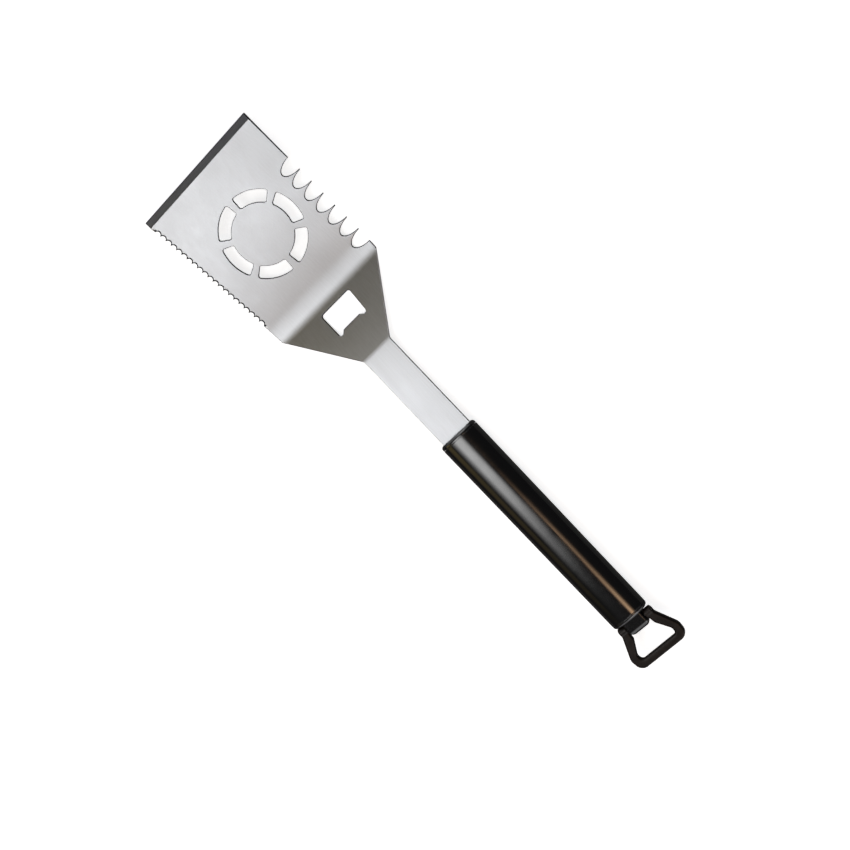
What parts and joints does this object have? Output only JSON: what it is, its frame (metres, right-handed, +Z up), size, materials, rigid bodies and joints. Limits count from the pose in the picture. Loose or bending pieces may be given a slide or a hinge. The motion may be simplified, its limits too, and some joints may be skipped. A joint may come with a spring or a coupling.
{
  "type": "grill spatula",
  "caption": "Long stainless steel grill spatula with toothed blade edges, drain slots, a bottle opener window, a glossy black oval handle and a swinging hanging loop.",
  "frame": {"origin": "on the table under the centre of the bounding box, with the tool lying as it rests by itself, on its first bend and on the front of the handle's underside", "axes": "+X from the hanging loop towards the blade's front edge, +Y to the tool's left (the finely serrated edge), +Z up, out of the blade's upper face; the blade rises towards its front edge by 9.1 degrees and the handle rises towards the loop by 1.6 degrees"},
  "size_m": [0.4374, 0.1, 0.0224],
  "materials": {
    "head_steel": "satin",
    "handle_black": "gloss",
    "core_plastic": "matte",
    "fastener_steel": "satin",
    "loop_black": "satin"
  },
  "bodies": {
    "tool": {"head_plate": "head_steel", "front_collar": "handle_black", "handle_shell": "handle_black", "tang_core_upper": "core_plastic", "tang_core_lower": "core_plastic", "core_rivet_front": "fastener_steel", "core_rivet_rear": "fastener_steel", "end_cap": "handle_black", "end_cap_screw": "fastener_steel", "loop_pin": "fastener_steel"},
    "loop": {"hang_loop": "loop_black"}
  },
  "joints": [
    {"name": "loop_swing", "type": "hinge", "parent": "tool", "child": "loop", "pos_m": [-0.19064, 0, 0.01363], "axis": [0, 1, 0], "range_deg": [-90, 90]}
  ]
}
